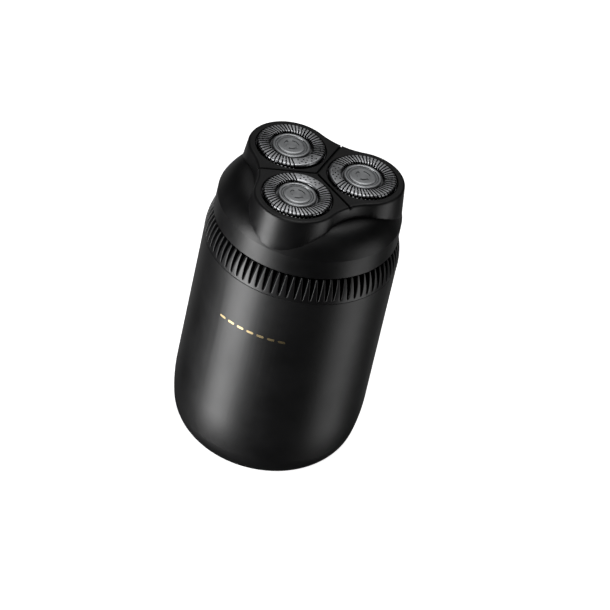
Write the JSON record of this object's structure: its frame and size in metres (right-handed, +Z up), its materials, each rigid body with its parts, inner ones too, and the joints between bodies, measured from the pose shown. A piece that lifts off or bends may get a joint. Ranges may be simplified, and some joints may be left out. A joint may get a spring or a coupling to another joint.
{
  "type": "rotary electric shaver",
  "caption": "Pocket rotary shaver: capsule body with a fluted grip ring and a pull-off domed head whose three-lobed cover holds floating round slotted caps over spinning cutters.",
  "frame": {"origin": "centre of the foot pad's underside, on the body's axis", "axes": "+Z up along the body to the shaving heads, -Y to the front (the side with the metal dashes and the front shaving head), +Y to the back (power button and charging port)"},
  "size_m": [0.0602, 0.0602, 0.1026],
  "materials": {
    "black_body": "satin black, very fine grain",
    "black_head": "semi-gloss black",
    "black_trim": "semi-gloss black",
    "black_inner": "moulded",
    "gold": "satin gold inlay",
    "black_rubber": "matt",
    "silicone": "soft silicone",
    "magnet": "nickel-plated magnet",
    "steel": "plain steel",
    "grey_nylon": "glass-filled nylon",
    "white_nylon": "acetal, natural",
    "cell_wrap": "shrink wrap",
    "zinc_can": "zinc-plated",
    "ferrite": "sintered ferrite",
    "laminations": "stacked laminations",
    "board": "solder resist",
    "chips": "epoxy package",
    "light_guide": "translucent white",
    "nickel": "nickel-plated shell",
    "cutter_steel": "ground stainless steel",
    "disc_steel": "satin stainless steel"
  },
  "bodies": {
    "body": {"body_shell": "black_body", "accent_dashes": "gold", "foot_pad": "black_rubber", "grip_ring": "black_trim", "body_seal": "silicone", "deck": "black_inner", "deck_seal": "silicone", "deck_magnets": "magnet", "deck_screws": "steel", "shaft_seal": "silicone", "chassis": "grey_nylon", "base_screw": "steel", "battery_cell": "cell_wrap", "motor_can": "zinc_can", "motor_end_bell": "white_nylon", "motor_magnets": "ferrite", "circuit_board": "board", "board_parts": "chips", "board_screws": "steel", "light_ring": "light_guide", "button_seal": "silicone", "usb_socket": "nickel", "usb_gasket": "silicone"},
    "rotor": {"motor_shaft": "steel", "rotor_core": "laminations", "drive_dog": "white_nylon"},
    "button": {"power_button": "black_trim"},
    "head": {"chamber_shell": "black_head", "gearbox_base": "grey_nylon", "head_magnets": "magnet", "gearbox_cover": "grey_nylon", "gearbox_screws": "steel", "trefoil_cover": "black_head", "retainer_frame": "grey_nylon", "retainer_screw": "steel", "front_spring": "steel", "right_spring": "steel", "left_spring": "steel"},
    "sun": {"sun_gear": "white_nylon"},
    "front_drive": {"front_gear": "white_nylon"},
    "front_float": {"front_carrier": "grey_nylon"},
    "front_pin": {"front_spindle": "white_nylon"},
    "front_cap": {"front_cap_ring": "cutter_steel", "front_cap_disc": "disc_steel"},
    "front_blades": {"front_cutter": "cutter_steel", "front_cutter_hub": "white_nylon"},
    "right_drive": {"right_gear": "white_nylon"},
    "right_float": {"right_carrier": "grey_nylon"},
    "right_pin": {"right_spindle": "white_nylon"},
    "right_cap": {"right_cap_ring": "cutter_steel", "right_cap_disc": "disc_steel"},
    "right_blades": {"right_cutter": "cutter_steel", "right_cutter_hub": "white_nylon"},
    "left_drive": {"left_gear": "white_nylon"},
    "left_float": {"left_carrier": "grey_nylon"},
    "left_pin": {"left_spindle": "white_nylon"},
    "left_cap": {"left_cap_ring": "cutter_steel", "left_cap_disc": "disc_steel"},
    "left_blades": {"left_cutter": "cutter_steel", "left_cutter_hub": "white_nylon"}
  },
  "joints": [
    {"name": "head_release", "type": "slide", "parent": "body", "child": "head", "axis": [0, 0, 1], "range_m": [0, 0.025]},
    {"name": "button_press", "type": "slide", "parent": "body", "child": "button", "axis": [0, -1, 0], "range_m": [0, 0.0005], "stiffness_N_per_m": 1500, "deforming": ["button_seal"]},
    {"name": "motor_spin", "type": "hinge", "parent": "body", "child": "rotor", "pos_m": [0, 0, 0.065], "axis": [0, 0, 1], "continuous": true},
    {"name": "sun_spin", "type": "hinge", "parent": "head", "child": "sun", "pos_m": [0, 0, 0.085], "axis": [0, 0, 1], "continuous": true},
    {"name": "front_gear_spin", "type": "hinge", "parent": "head", "child": "front_drive", "pos_m": [0, -0.014, 0.085], "axis": [0, 0, 1], "continuous": true},
    {"name": "front_float", "type": "slide", "parent": "head", "child": "front_float", "axis": [0, 0, -1], "range_m": [0, 0.0012], "stiffness_N_per_m": 400, "deforming": ["front_spring"]},
    {"name": "front_pin_spin", "type": "hinge", "parent": "front_float", "child": "front_pin", "pos_m": [0, -0.014, 0.093], "axis": [0, 0, 1], "continuous": true},
    {"name": "front_tilt", "type": "hinge", "parent": "front_float", "child": "front_cap", "pos_m": [0, -0.014, 0.09915], "axis": [1, 0, 0], "range_deg": [-3, 3], "stiffness_Nm_per_rad": 0.02},
    {"name": "front_blade_spin", "type": "hinge", "parent": "front_cap", "child": "front_blades", "pos_m": [0, -0.014, 0.099], "axis": [0, 0, 1], "continuous": true},
    {"name": "right_gear_spin", "type": "hinge", "parent": "head", "child": "right_drive", "pos_m": [0.01212, 0.007, 0.085], "axis": [0, 0, 1], "continuous": true},
    {"name": "right_float", "type": "slide", "parent": "head", "child": "right_float", "axis": [0, 0, -1], "range_m": [0, 0.0012], "stiffness_N_per_m": 400, "deforming": ["right_spring"]},
    {"name": "right_pin_spin", "type": "hinge", "parent": "right_float", "child": "right_pin", "pos_m": [0.01212, 0.007, 0.093], "axis": [0, 0, 1], "continuous": true},
    {"name": "right_tilt", "type": "hinge", "parent": "right_float", "child": "right_cap", "pos_m": [0.01212, 0.007, 0.09915], "axis": [-0.5, 0.866, 0], "range_deg": [-3, 3], "stiffness_Nm_per_rad": 0.02},
    {"name": "right_blade_spin", "type": "hinge", "parent": "right_cap", "child": "right_blades", "pos_m": [0.01212, 0.007, 0.099], "axis": [0, 0, 1], "continuous": true},
    {"name": "left_gear_spin", "type": "hinge", "parent": "head", "child": "left_drive", "pos_m": [-0.01212, 0.007, 0.085], "axis": [0, 0, 1], "continuous": true},
    {"name": "left_float", "type": "slide", "parent": "head", "child": "left_float", "axis": [0, 0, -1], "range_m": [0, 0.0012], "stiffness_N_per_m": 400, "deforming": ["left_spring"]},
    {"name": "left_pin_spin", "type": "hinge", "parent": "left_float", "child": "left_pin", "pos_m": [-0.01212, 0.007, 0.093], "axis": [0, 0, 1], "continuous": true},
    {"name": "left_tilt", "type": "hinge", "parent": "left_float", "child": "left_cap", "pos_m": [-0.01212, 0.007, 0.09915], "axis": [-0.5, -0.866, 0], "range_deg": [-3, 3], "stiffness_Nm_per_rad": 0.02},
    {"name": "left_blade_spin", "type": "hinge", "parent": "left_cap", "child": "left_blades", "pos_m": [-0.01212, 0.007, 0.099], "axis": [0, 0, 1], "continuous": true}
  ],
  "couplings": [
    {"joint": "sun_spin", "follows": "motor_spin", "ratio": 1},
    {"joint": "front_gear_spin", "follows": "motor_spin", "ratio": -0.47368},
    {"joint": "front_pin_spin", "follows": "motor_spin", "ratio": -0.47368},
    {"joint": "front_blade_spin", "follows": "motor_spin", "ratio": -0.47368},
    {"joint": "right_gear_spin", "follows": "motor_spin", "ratio": -0.47368},
    {"joint": "right_pin_spin", "follows": "motor_spin", "ratio": -0.47368},
    {"joint": "right_blade_spin", "follows": "motor_spin", "ratio": -0.47368},
    {"joint": "left_gear_spin", "follows": "motor_spin", "ratio": -0.47368},
    {"joint": "left_pin_spin", "follows": "motor_spin", "ratio": -0.47368},
    {"joint": "left_blade_spin", "follows": "motor_spin", "ratio": -0.47368}
  ]
}
